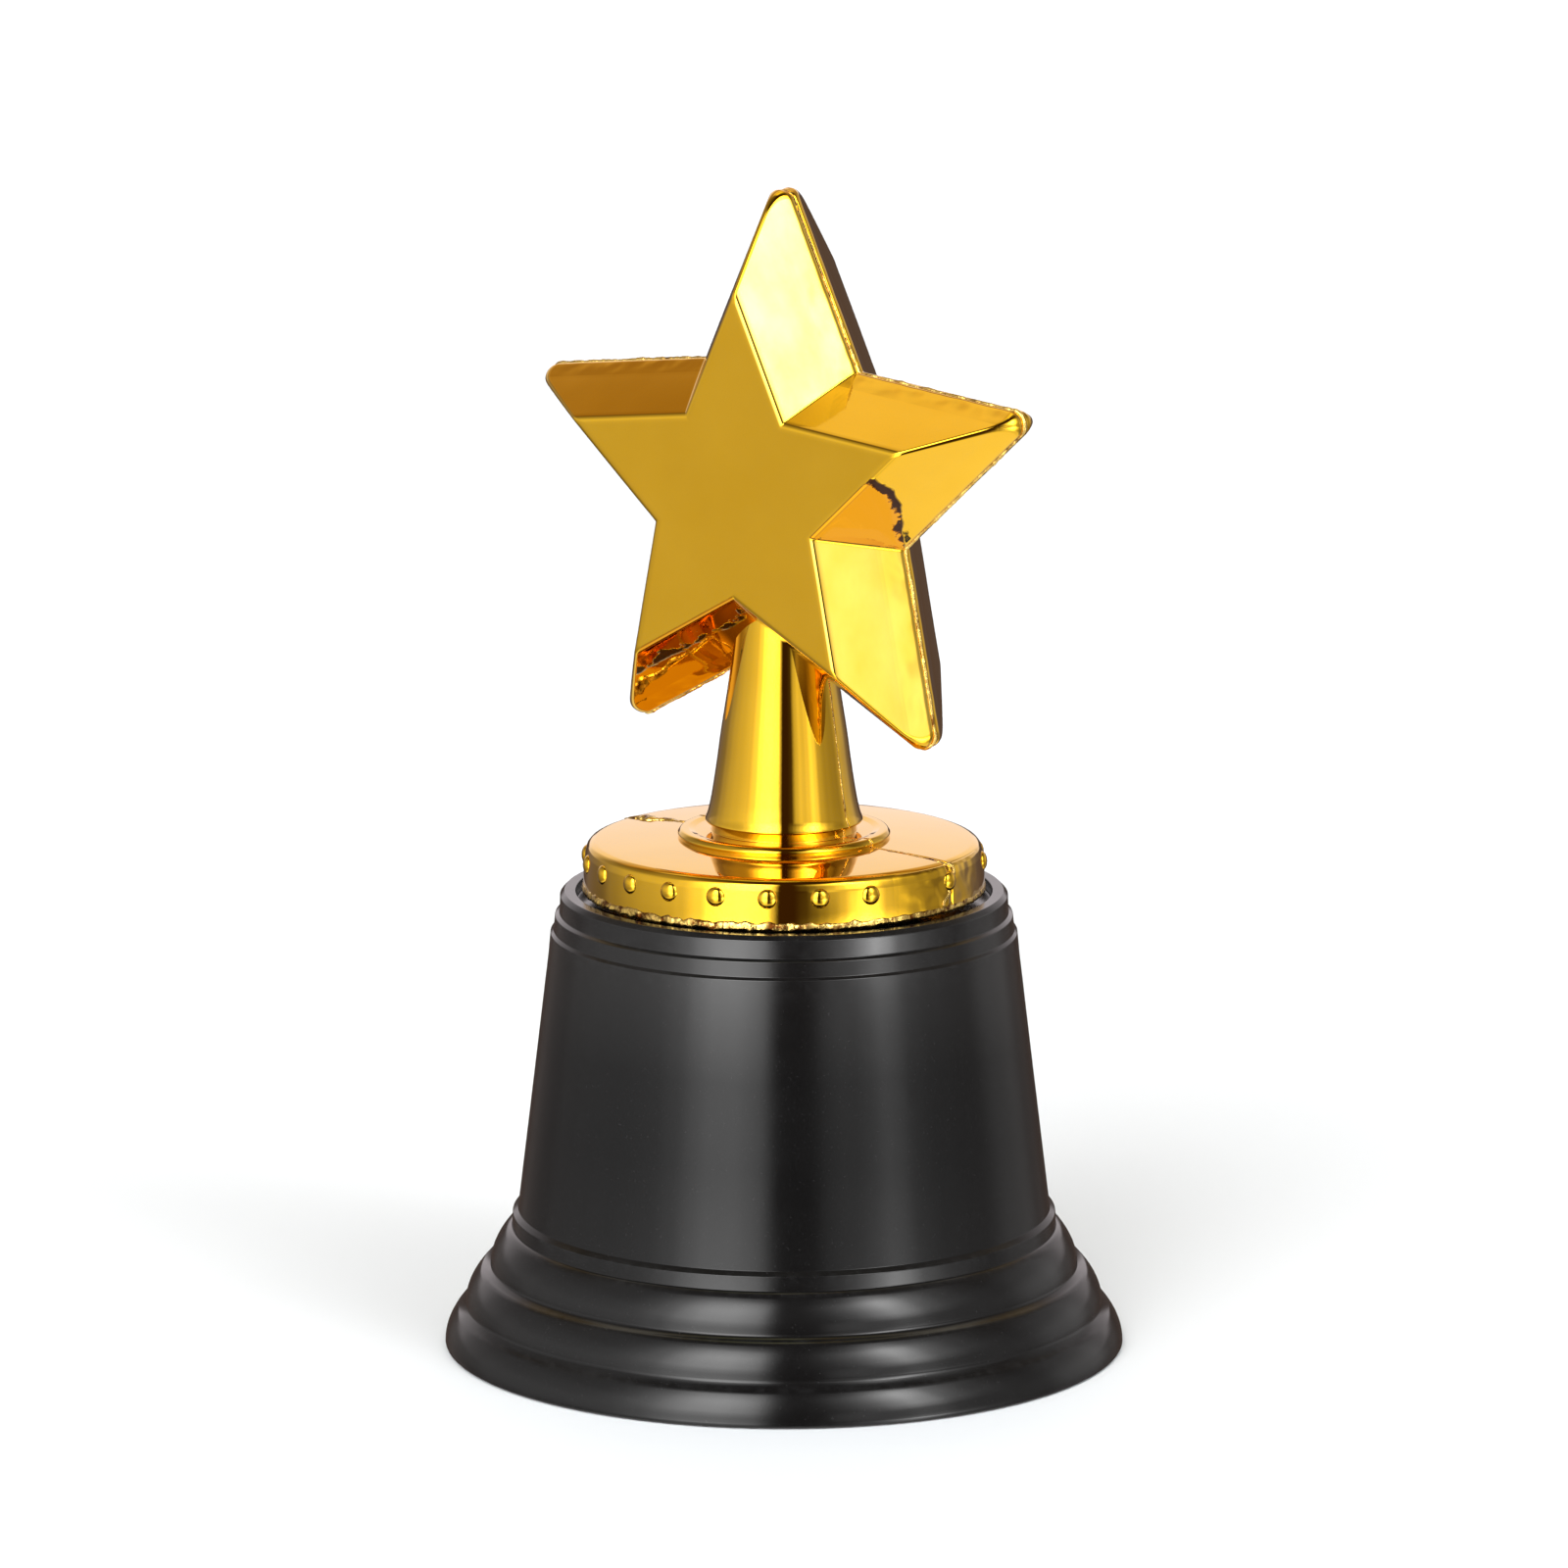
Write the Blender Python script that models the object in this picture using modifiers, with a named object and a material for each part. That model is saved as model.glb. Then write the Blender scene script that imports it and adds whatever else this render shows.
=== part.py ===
"""Star trophy: a hollow gold figure (star, stem and studded foot) screwed to a stepped black pedestal.

The figure is two thin shells that meet in the plane of the star's edges. The frame's origin is the
centre of the pedestal's underside, +Z is up and the star's front face looks along -Y.
Constants are in millimetres, and MM turns them into Blender's metres.
"""

import math

import bmesh
import bpy
from mathutils import Matrix

MM = 0.001
GAP = 0.3  # left between pieces that touch
EMBED = 0.5  # how far a rib or pin reaches into the wall that it joins

# Star: five points, two tapered halves
STAR_POINTS = 5
STAR_CENTRE_Z = 93.75
STAR_TIP_R = 34.0  # before the tips are rounded
STAR_NOTCH_R = 16.48
STAR_TIP_ROUNDING = 2.8  # cut back along each edge from the sharp tip
STAR_TIP_SEGMENTS = 4
STAR_HALF_DEPTH = 9.43
STAR_FACE_SCALES = {-1: 0.645, 1: 0.69}  # front and rear face over the outline at the seam
SHELL_WALL = 1.4

# Stem, collar and foot of the figure, as radius and height down the outer side
STEM = [(4.9, 82.0), (5.66, 75.0), (6.75, 67.6), (7.25, 63.9), (7.75, 60.7), (8.05, 59.2), (8.5, 57.85)]
COLLAR = [(8.4, 57.6), (7.85, 57.55), (7.85, 56.6), (10.6, 56.6), (11.38, 56.25), (11.38, 55.95)]
FOOT = [(13.0, 55.85), (16.0, 55.72), (20.0, 55.45), (20.7, 55.25), (21.15, 54.85), (21.4, 54.3)]
FOOT_BOTTOM_R = 21.65
FOOT_BOTTOM_Z = 50.6
STEM_HOLLOW = [(3.5, 83.0), (4.3, 75.0), (5.35, 67.6), (5.85, 63.9), (6.35, 60.7), (6.9, 57.9), (6.5, 56.9)]
FOOT_HOLLOW = [(6.5, 54.6), (16.0, 54.3), (19.6, 54.1), (20.1, 53.7), (20.25, 49.0)]

# Studs round the foot: every 15 degrees, four places left out
STUD_STEP = 15
STUD_GAPS = (75, 105, -75, -105)  # degrees from the star's front
STUD_R = 1.0
STUD_FLATTENING = 0.6  # its thickness over its width
STUD_CENTRE = (21.25, 53.4)  # radius and height
STUD_SEGMENTS = 10
STUD_RINGS = 6

# Inside the figure: a boss split by the seam, tied to the walls by ribs, and locating pins
BOSS_R = 4.2
BOSS_TOP_Z = 62.0
PILOT_R = 2.05
PILOT_TOP_Z = 60.0
RIB_ANGLES = (-60, 0, 60)  # degrees from the middle of each shell
STEM_RIB_WIDTH = 1.2
STEM_RIB_REACH = 7.35
STEM_RIB_Z = (54.0, 61.6)
FOOT_RIB_WIDTH = 1.5
FOOT_RIB_REACH = 20.6
FOOT_RIB_Z = (51.4, 54.7)
PIN_ORBIT_R = 12.5
PIN_ANGLES = (90, 234, 306)
PIN_R = 1.25
PIN_REACH = 1.6
SOCKET_R = 2.6
SOCKET_DEPTH = 2.6
SOCKET_START = -1.0  # before the seam, which trims it

# Pedestal, as radius and height
PLUG_TOP = (21.2, 50.3)
CHANNEL_FLOOR_Z = 48.6
RIM_INNER_R = 22.45
NECK_PROFILE = [(23.65, 50.0), (24.15, 49.5), (24.2, 47.6), (24.7, 47.35), (24.85, 45.75), (25.2, 45.45)]
WAIST_PROFILE = [(28.85, 14.95), (29.45, 14.5), (29.53, 12.95)]
FOOT_STEPS = [((29.98, 12.78), (31.9, 8.5)), ((32.68, 8.39), (34.62, 4.3)), ((35.35, 3.76), (36.87, 0.0))]
STEP_CURVE_POINTS = 5
STEP_CURVE_CROWDING = 1.5  # crowds the points where the curve bends most
BELL_PROFILE = [(35.0, 0.0), (33.2, 3.6), (32.3, 4.4), (30.6, 7.8), (29.8, 8.6), (27.9, 12.8), (27.2, 14.6)]
BELL_TOP = (23.4, 47.0)
DECK_HOLE_R = 2.3
DECK_BOSS = (5.5, 43.8)
DECK_RIBS = 6
DECK_RIB_WIDTH = 1.5
DECK_RIB_BOTTOM_Z = 44.5

# Fasteners
WASHER_R = 4.8
WASHER_HOLE_R = 2.2
WASHER_THICKNESS = 1.0
HEAD_R = 3.4
HEAD_HEIGHT = 2.2
THREAD_R = 1.75
CORE_R = 1.35
THREAD_PITCH = 1.3
THREADS = 11
POINT_LENGTH = 1.6
HEAD_EDGE = 0.8  # upright part of the head's side
HEAD_CROWN = [(2.9, 0.5), (2.0, 0.1)]  # radius, and height above the lowest point
RECESS_WIDTH = 0.9
RECESS_LENGTH = 3.6
RECESS_DEPTH = 1.1

TURNED_STEPS = 48
HOLLOW_STEPS = 40  # unlike TURNED_STEPS, so that inner and outer facets cross cleanly
SMALL_STEPS = 20
CUT_SIZE = 60  # reach of a cutter that takes away everything on its side
SHARP_ANGLE = 30  # degrees between faces that stay a sharp edge


def remove_everything():
    for old in list(bpy.data.objects):
        bpy.data.objects.remove(old, do_unlink=True)


def new_collection(name):
    made = bpy.data.collections.new(name)
    bpy.context.scene.collection.children.link(made)
    return made


def plastic(name, colour, roughness, metallic):
    made = bpy.data.materials.new(name)
    made.use_nodes = True
    shader = made.node_tree.nodes["Principled BSDF"]
    shader.inputs["Base Color"].default_value = (*colour, 1.0)
    shader.inputs["Roughness"].default_value = roughness
    shader.inputs["Metallic"].default_value = metallic
    return made


def object_from(bm, name, collection):
    """Makes a bmesh whose lengths are in millimetres an object in metres."""
    bmesh.ops.recalc_face_normals(bm, faces=bm.faces)
    bmesh.ops.scale(bm, vec=(MM, MM, MM), verts=bm.verts)
    mesh = bpy.data.meshes.new(name)
    bm.to_mesh(mesh)
    bm.free()
    made = bpy.data.objects.new(name, mesh)
    collection.objects.link(made)
    return made


def as_cutter(made):
    made.hide_render = True
    made.display_type = "WIRE"
    return made


def boolean(target, operation, other):
    modifier = target.modifiers.new(f"{operation.lower()} {other.name}", "BOOLEAN")
    modifier.operation = operation
    modifier.solver = "EXACT"
    modifier.object = other


def turned(name, profile, collection, closed=False, steps=TURNED_STEPS):
    """A solid of revolution. The profile runs down its outer side and is closed when it has a hole."""
    bm = bmesh.new()
    verts = [bm.verts.new((radius * MM, 0, height * MM)) for radius, height in profile]
    for upper, lower in zip(verts, verts[1:]):
        bm.edges.new((upper, lower))
    if closed:
        bm.edges.new((verts[-1], verts[0]))
    mesh = bpy.data.meshes.new(name)
    bm.to_mesh(mesh)
    bm.free()
    made = bpy.data.objects.new(name, mesh)
    collection.objects.link(made)
    screw = made.modifiers.new("turn", "SCREW")
    screw.steps = steps
    screw.render_steps = steps
    screw.use_merge_vertices = True
    screw.merge_threshold = 0.00001
    screw.use_smooth_shade = True
    return made


def star_frustum(name, tip_r, notch_r, scale, near, far, collection):
    """A star outline at y = near that shrinks by scale to y = far."""
    bm = bmesh.new()
    bmesh.ops.create_circle(bm, cap_ends=True, segments=2 * STAR_POINTS, radius=tip_r)
    corners = list(bm.verts)
    tips = corners[::2]
    for notch in corners[1::2]:
        notch.co *= notch_r / tip_r
    rounding = STAR_TIP_ROUNDING * tip_r / STAR_TIP_R
    bmesh.ops.bevel(bm, geom=tips, offset=rounding, segments=STAR_TIP_SEGMENTS, profile=0.5, affect="VERTICES")
    for vert in bm.verts:
        vert.co = (vert.co.x, near, vert.co.y)
    outline = list(bm.faces)
    raised = bmesh.ops.extrude_face_region(bm, geom=outline, use_keep_orig=True)["geom"]
    for vert in [item for item in raised if isinstance(item, bmesh.types.BMVert)]:
        vert.co = (vert.co.x * scale, far, vert.co.z * scale)
    bmesh.ops.translate(bm, vec=(0, 0, STAR_CENTRE_Z), verts=bm.verts)
    return object_from(bm, name, collection)


def box(name, low, high, turn, cutters):
    """A box between two corners, turned by an angle in degrees about the vertical axis."""
    bm = bmesh.new()
    verts = bmesh.ops.create_cube(bm, size=1.0)["verts"]
    for vert in verts:
        vert.co = [a + (part + 0.5) * (b - a) for a, b, part in zip(low, high, vert.co)]
    bmesh.ops.rotate(bm, verts=verts, matrix=Matrix.Rotation(math.radians(turn), 3, "Z"))
    return as_cutter(object_from(bm, name, cutters))


def rod_y(name, radius, start, end, centres, collection):
    """Rods along Y from start to end, one at each (x, z) centre."""
    bm = bmesh.new()
    for x, z in centres:
        verts = bmesh.ops.create_cone(
            bm, cap_ends=True, segments=SMALL_STEPS, radius1=radius, radius2=radius, depth=abs(end - start)
        )["verts"]
        bmesh.ops.rotate(bm, verts=verts, matrix=Matrix.Rotation(math.pi / 2, 3, "X"))
        bmesh.ops.translate(bm, verts=verts, vec=(x, (start + end) / 2, z))
    return object_from(bm, name, collection)


def pin_centres():
    for angle in PIN_ANGLES:
        turn = math.radians(angle)
        yield PIN_ORBIT_R * math.cos(turn), STAR_CENTRE_Z + PIN_ORBIT_R * math.sin(turn)


def figure_turned(cutters):
    """Stem, collar and foot as one solid turned form."""
    profile = [(0.0, STEM[0][1])] + STEM + COLLAR + FOOT
    profile += [(FOOT_BOTTOM_R, FOOT_BOTTOM_Z), (0.0, FOOT_BOTTOM_Z)]
    return as_cutter(turned("figure_turned", profile, cutters))


def figure_hollow(cutters):
    """The space inside the stem and the foot, open below."""
    profile = [(0.0, STEM_HOLLOW[0][1])] + STEM_HOLLOW + FOOT_HOLLOW
    profile += [(0.0, FOOT_HOLLOW[-1][1])]
    return as_cutter(turned("figure_hollow", profile, cutters, steps=HOLLOW_STEPS))


def studs(cutters):
    bm = bmesh.new()
    radius, height = STUD_CENTRE
    for angle in range(-180, 180, STUD_STEP):
        if angle in STUD_GAPS:
            continue
        turn = math.radians(angle)
        dome = bmesh.ops.create_uvsphere(bm, u_segments=STUD_SEGMENTS, v_segments=STUD_RINGS, radius=STUD_R)
        verts = dome["verts"]
        bmesh.ops.scale(bm, verts=verts, vec=(1, STUD_FLATTENING, 1))
        bmesh.ops.rotate(bm, verts=verts, matrix=Matrix.Rotation(turn, 3, "Z"))
        bmesh.ops.translate(bm, verts=verts, vec=(radius * math.sin(turn), -radius * math.cos(turn), height))
    return as_cutter(object_from(bm, "foot_studs", cutters))


def hollow_apothem_scale(side, depth):
    """Size of one half's hollow at a depth from the seam, over the star's outline at the seam."""
    tip_angle = math.atan2(
        STAR_NOTCH_R * math.sin(math.pi / STAR_POINTS),
        STAR_TIP_R - STAR_NOTCH_R * math.cos(math.pi / STAR_POINTS),
    )
    apothem = STAR_TIP_R * math.sin(tip_angle)
    slope = apothem * (1 - STAR_FACE_SCALES[side]) / STAR_HALF_DEPTH
    wall = SHELL_WALL * math.hypot(1, slope)
    return (apothem - slope * depth - wall) / apothem


def star_hollow(side, cutters):
    depth = STAR_HALF_DEPTH - SHELL_WALL
    at_seam = hollow_apothem_scale(side, 0)
    at_face = hollow_apothem_scale(side, depth)
    return as_cutter(
        star_frustum(
            f"star_hollow_{half_name(side)}",
            STAR_TIP_R * at_seam,
            STAR_NOTCH_R * at_seam,
            at_face / at_seam,
            -side * EMBED,
            side * depth,
            cutters,
        )
    )


def rib(name, width, reach, heights, turn, cutters):
    """A plate from near the axis out to a reach, towards -Y before it is turned."""
    low = (-width / 2, -reach, heights[0])
    high = (width / 2, -EMBED, heights[1])
    return box(name, low, high, turn, cutters)


def foot_boss(side, cutters):
    """Half of the screw boss with the ribs that tie it to the stem and the foot."""
    bm = bmesh.new()
    height = BOSS_TOP_Z - FOOT_BOTTOM_Z
    verts = bmesh.ops.create_cone(
        bm, cap_ends=True, segments=SMALL_STEPS, radius1=BOSS_R, radius2=BOSS_R, depth=height
    )["verts"]
    bmesh.ops.translate(bm, verts=verts, vec=(0, 0, FOOT_BOTTOM_Z + height / 2))
    made = as_cutter(object_from(bm, f"boss_{half_name(side)}", cutters))
    for angle in RIB_ANGLES:
        turn = angle if side < 0 else angle + 180
        stem_rib = rib(f"stem_rib_{turn}", STEM_RIB_WIDTH, STEM_RIB_REACH, STEM_RIB_Z, turn, cutters)
        boolean(made, "UNION", stem_rib)
        foot_rib = rib(f"foot_rib_{turn}", FOOT_RIB_WIDTH, FOOT_RIB_REACH, FOOT_RIB_Z, turn, cutters)
        boolean(made, "UNION", foot_rib)
    return made


def half_name(side):
    return "front" if side < 0 else "rear"


def beyond_the_seam(side, cutters):
    """Everything on the other side of the seam plane, with half of the gap."""
    near = side * GAP / 2
    far = -side * CUT_SIZE
    low = (-CUT_SIZE, min(near, far), FOOT_BOTTOM_Z - GAP)
    high = (CUT_SIZE, max(near, far), STAR_CENTRE_Z + CUT_SIZE)
    return box(f"beyond_seam_{half_name(side)}", low, high, 0, cutters)


def pilot_hole(cutters):
    mouth = FOOT_BOTTOM_Z - EMBED
    profile = [(0, PILOT_TOP_Z), (PILOT_R, PILOT_TOP_Z), (PILOT_R, mouth), (0, mouth)]
    return as_cutter(turned("pilot_hole", profile, cutters, steps=SMALL_STEPS))


def figure_shell(name, side, shared, parts, cutters):
    """One half of the figure: side -1 is the front, +1 the rear."""
    shell = star_frustum(
        name, STAR_TIP_R, STAR_NOTCH_R, STAR_FACE_SCALES[side], 0, side * STAR_HALF_DEPTH, parts
    )
    boolean(shell, "UNION", shared["turned"])
    boolean(shell, "UNION", shared["studs"])
    hollow = star_hollow(side, cutters)
    boolean(hollow, "UNION", shared["hollow"])
    boolean(shell, "DIFFERENCE", hollow)
    boolean(shell, "UNION", foot_boss(side, cutters))
    boolean(shell, "DIFFERENCE", shared["pilot"])
    return shell


def front_shell(shared, parts, cutters):
    shell = figure_shell("figure_front_shell", -1, shared, parts, cutters)
    boolean(shell, "DIFFERENCE", beyond_the_seam(-1, cutters))
    wall = -(STAR_HALF_DEPTH - SHELL_WALL + EMBED)
    boolean(shell, "UNION", as_cutter(rod_y("pins", PIN_R, wall, PIN_REACH, pin_centres(), cutters)))
    return shell


def rear_shell(shared, parts, cutters):
    shell = figure_shell("figure_rear_shell", 1, shared, parts, cutters)
    wall = STAR_HALF_DEPTH - SHELL_WALL + EMBED
    boolean(shell, "UNION", as_cutter(rod_y("sockets", SOCKET_R, SOCKET_START, wall, pin_centres(), cutters)))
    boolean(shell, "DIFFERENCE", beyond_the_seam(1, cutters))
    bores = rod_y("socket_bores", PIN_R + GAP, SOCKET_START, SOCKET_DEPTH, pin_centres(), cutters)
    boolean(shell, "DIFFERENCE", as_cutter(bores))
    return shell


def step_curve(edge, bottom):
    """A foot step's rounded shoulder: it leaves the edge sloping and ends almost upright."""
    points = []
    for index in range(STEP_CURVE_POINTS + 1):
        part = index / STEP_CURVE_POINTS
        down = part**STEP_CURVE_CROWDING
        out = 1 - (1 - down) ** 2
        points.append((edge[0] + (bottom[0] - edge[0]) * out, edge[1] + (bottom[1] - edge[1]) * down))
    return points


def base_shell(parts, cutters):
    plug_r, plug_z = PLUG_TOP
    profile = [(DECK_HOLE_R, plug_z), (plug_r, plug_z), (plug_r, CHANNEL_FLOOR_Z)]
    profile += [(RIM_INNER_R, CHANNEL_FLOOR_Z), (RIM_INNER_R, NECK_PROFILE[0][1])]
    profile += NECK_PROFILE + WAIST_PROFILE
    for edge, bottom in FOOT_STEPS:
        profile += step_curve(edge, bottom)
    profile += BELL_PROFILE + [BELL_TOP, (DECK_BOSS[0], BELL_TOP[1]), DECK_BOSS, (DECK_HOLE_R, DECK_BOSS[1])]
    shell = turned("base_shell", profile, parts, closed=True)
    low = (DECK_BOSS[0] - EMBED, -DECK_RIB_WIDTH / 2, DECK_RIB_BOTTOM_Z)
    high = (BELL_TOP[0] + EMBED, DECK_RIB_WIDTH / 2, BELL_TOP[1] + EMBED)
    for index in range(DECK_RIBS):
        boolean(shell, "UNION", box(f"deck_rib_{index}", low, high, 360 * index / DECK_RIBS, cutters))
    return shell


def washer_top_z():
    return DECK_BOSS[1] - GAP


def flat_washer(parts):
    top = washer_top_z()
    bottom = top - WASHER_THICKNESS
    profile = [(WASHER_HOLE_R, top), (WASHER_R, top), (WASHER_R, bottom), (WASHER_HOLE_R, bottom)]
    return turned("flat_washer", profile, parts, closed=True, steps=2 * SMALL_STEPS)


def mounting_screw(parts, cutters):
    """A pan-head self-tapping screw, head down, with a cross recess and ringed threads."""
    head_top = washer_top_z() - WASHER_THICKNESS - GAP
    thread_end = head_top + (THREADS + 1) * THREAD_PITCH
    profile = [(0, thread_end + POINT_LENGTH), (CORE_R, thread_end)]
    for index in range(THREADS):
        crest = thread_end - (index + 0.5) * THREAD_PITCH
        profile += [(THREAD_R, crest), (CORE_R, crest - THREAD_PITCH / 2)]
    bottom = head_top - HEAD_HEIGHT
    profile += [(CORE_R, head_top), (HEAD_R, head_top), (HEAD_R, head_top - HEAD_EDGE)]
    profile += [(radius, bottom + rise) for radius, rise in HEAD_CROWN] + [(0, bottom)]
    screw = turned("mounting_screw", profile, parts, steps=SMALL_STEPS)
    low = (-RECESS_LENGTH / 2, -RECESS_WIDTH / 2, bottom - EMBED)
    high = (RECESS_LENGTH / 2, RECESS_WIDTH / 2, bottom + RECESS_DEPTH)
    for turn in (0, 90):
        boolean(screw, "DIFFERENCE", box(f"cross_recess_{turn}", low, high, turn, cutters))
    return screw


def smooth(made):
    """Shades round surfaces smooth and keeps real corners sharp."""
    if made.data.polygons:
        made.data.shade_smooth()
        made.data.set_sharp_from_angle(angle=math.radians(SHARP_ANGLE))


def main():
    remove_everything()
    parts = new_collection("star_trophy")
    cutters = new_collection("cutters")
    gold = plastic("gold_plating", (0.83, 0.55, 0.10), 0.12, 1.0)
    gold_rear = plastic("gold_plating_rear", (0.80, 0.52, 0.09), 0.14, 1.0)
    black = plastic("black_plastic", (0.02, 0.02, 0.022), 0.32, 0.0)
    steel = plastic("zinc_plated_steel", (0.62, 0.63, 0.65), 0.3, 1.0)
    washer_steel = plastic("washer_steel", (0.55, 0.56, 0.58), 0.38, 1.0)
    shared = {
        "turned": figure_turned(cutters),
        "studs": studs(cutters),
        "hollow": figure_hollow(cutters),
        "pilot": pilot_hole(cutters),
    }
    finished = [
        (front_shell(shared, parts, cutters), gold),
        (rear_shell(shared, parts, cutters), gold_rear),
        (base_shell(parts, cutters), black),
        (mounting_screw(parts, cutters), steel),
        (flat_washer(parts), washer_steel),
    ]
    for made, material in finished:
        made.data.materials.append(material)
        smooth(made)


main()
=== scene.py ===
"""Looks of the star trophy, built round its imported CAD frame.

The visual pieces follow the CAD nodes that they stand for, in millimetres, and MM turns them into
metres. The star's tips, the collar, the studs, the deck's underside and the screw differ from the CAD
by up to 0.8 mm. The boss, ribs, pins and sockets inside the figure and the plug under its foot, which
can't be seen from outside, are left out. Angles round the trophy are measured from the star's front,
which looks along -Y.
"""

import math

import bmesh
import bpy
import numpy as np
from mathutils import Matrix, Vector, noise


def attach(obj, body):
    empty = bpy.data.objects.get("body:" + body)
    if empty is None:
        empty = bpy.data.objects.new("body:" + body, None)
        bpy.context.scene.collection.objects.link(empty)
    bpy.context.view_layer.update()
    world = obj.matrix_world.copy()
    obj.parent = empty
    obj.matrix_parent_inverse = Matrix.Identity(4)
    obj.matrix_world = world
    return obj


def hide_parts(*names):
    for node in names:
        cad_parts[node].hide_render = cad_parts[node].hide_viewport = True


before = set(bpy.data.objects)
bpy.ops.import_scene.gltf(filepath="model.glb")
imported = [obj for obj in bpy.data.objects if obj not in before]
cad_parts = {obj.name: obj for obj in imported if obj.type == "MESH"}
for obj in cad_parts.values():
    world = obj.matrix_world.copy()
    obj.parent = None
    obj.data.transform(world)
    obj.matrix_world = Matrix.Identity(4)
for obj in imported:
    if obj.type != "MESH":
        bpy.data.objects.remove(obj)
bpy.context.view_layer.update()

MM = 0.001
VIEW_AZIMUTH = math.radians(34.7)  # the camera, from the star's front towards +X
VIEW_DISTANCE = 0.8997  # from the trophy's axis, level
VIEW_HEIGHT = 0.2436
VIEW_AIM_Z = 0.0615
LENS = 196.0
SENSOR = 36.0
OVERHEAD = 1.15  # strength of the soft light from above

# Star
CENTRE_Z = 93.75
TIP_R = 34.4
NOTCH_R = 16.48
TIP_FILLET = 1.6  # at the seam
RIDGE_FILLET = 0.4  # along the arms
RIDGE_BLEND = 3.2  # how far past the seam band the rounding shrinks to the ridge's
SEAM_BAND = 0.7  # steep strip beside the seam
NOTCH_FILLET = 0.3
HALF_DEPTH = 9.43
FACE_SCALES = {-1: 0.645, 1: 0.69}
FACE_FILLET = 0.7
SEAM_FILLET = 1.3
PILLOW = 0.1  # how far the middle of a side bulges
RIPPLE = 0.03  # how far the moulded faces wander
# Painted highlight: these flats get pale yellow patches in their colour, standing in for the soft box's
# reflection
PAINTED_HIGHLIGHT_FLATS = {6: 0.5, 9: 0.5}  # flats counted from the top tip, towards -X
UNDER_RIGHT_ARM = 7
IN_LEFT_LEG = 4
DENT_SLOPE = 0.09  # of the sunken corner under the right arm
# Scar lines on two flats: past each one a painted reflection turns the gold deep orange
ARM_SCAR_AND_REFLECTION = (0.8, 0.07, 14.0)  # slant, where it starts, and the flat's length in mm
LEG_SCAR_AND_REFLECTION = (0.72, 9.0)  # how far down the flat, and the flat's depth in mm
SEAM_WARP = (0.25, 3.0)  # strength and reach of the waviness beside the star's seam
WALL_WARP = (0.7, 8.0)  # the same on the foot's wall
STEPS_ALONG = (0.008, 0.03, *np.linspace(0.07, 0.93, 36), 0.97, 0.992)  # points along one flat
WALL = 1.4
SEAM_GAP = 0.02
CLEAR_OF_SCAR_AND_REFLECTION = 9.0  # so far from a scar in the plating that neither it nor the painted reflection beside it shows
RING_SPACING = 0.45  # at most, between rings of points on a shell
PLACES = 11  # points round each rounded corner of the outline

# Pedestal: how glossy the moulding came out, by height
SHEEN_HEIGHTS = [14.0, 16.0, 30.0, 35.0, 40.0, 45.0]
SHEEN_LEVELS = [0.42, 0.26, 0.27, 0.30, 0.46, 0.62]

# Stem, collar, foot
STEM_PROFILE = [(4.5, 87.0), (5.66, 75.0), (6.75, 67.6), (7.25, 63.9), (7.75, 60.7), (8.03, 59.3)]
STEM_PROFILE += [(8.22, 58.55), (8.5, 57.85)]
# outlines as (radius, height, fillet)
COLLAR = [(8.5, 57.8, 0.1), (8.4, 57.6, 0.08), (7.85, 57.55, 0.1), (7.85, 56.6, 0.1), (9.6, 56.6, 0.5)]
COLLAR += [(10.3, 56.8, 0.5), (11.1, 56.8, 0.42), (11.5, 56.3, 0.3), (11.38, 55.93, 0.02)]
FOOT = [(13.0, 55.86, 0), (16.0, 55.74, 0), (19.0, 55.58, 0), (20.35, 55.46, 1.2), (20.9, 55.25, 0.8)]
FOOT += [(21.22, 54.87, 0.7), (21.42, 54.2, 1.2), (21.6, 52.0, 0)]
FIGURE_HOLLOW = [(20.2, 53.9, 0.6), (16.0, 54.3, 0), (6.5, 54.6, 0), (6.5, 57.2, 0), (5.8, 63.9, 0)]
FIGURE_HOLLOW += [(4.3, 75.0, 0), (3.3, 87.0, 0)]
FOOT_BOTTOM_Z = 50.6
FOOT_BOTTOM_R = 21.65
FOOT_TOP_R = (11.6, 21.0)  # from the collar to the wall
FOOT_WALL = (20.9, 55.2)  # the wall is outside this radius and below this height
STUD_R = 1.12
STUD_FLATTENING = 0.6
STUD_CENTRE = (21.25, 53.4)
STUD_STEP = 15
STUD_GAPS = (75, 105, -75, -105)  # degrees without a stud
TORN_RADII = [12.0, 18.5, 20.0, 20.6]  # the thick flash left of the collar, and how thick
TORN_SHARES = [0.1, 1.0, 0.8, 0.0]
FLASH_STEP = 0.22  # along the star's edge
FLASH_SINK = 0.08
FLASH_WIDTH = 0.42
FLASH_HEIGHTS = (0.03, 0.20)  # at the tip, and how much more below it
FLASH_GROWTH = 2.5  # how far below the tip it is full
SIDE_FLASH_STEP = 0.15
SIDE_FLASH_SINK = 0.04
SIDE_FLASH_LIMIT_Z = 80.0
SIDE_FLASH_WIDTHS = (0.26, 0.35, 1.3)  # everywhere, and how much more on the wall and where torn
SIDE_FLASH_HEIGHTS = (0.08, 0.2, 0.25)
GROOVE_SIZE = (0.22, 0.07)  # width and height of the dark line beside the flash
GROOVE_ASIDE = (0.24, 0.1)  # how far beside it, and how much that varies
LIP_R = 21.62
LIP_THIN = 0.3  # how strong the torn edge is away from its heaviest place
LIP_HEAVY_AT = 0.1  # radians from the star's front
LIP_STEPS = 900
LIP_REACH = (0.08, 0.36)  # at least, and how much more where it is torn
TEAR_R = 21.6  # where the noise that tears the lip is read

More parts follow.
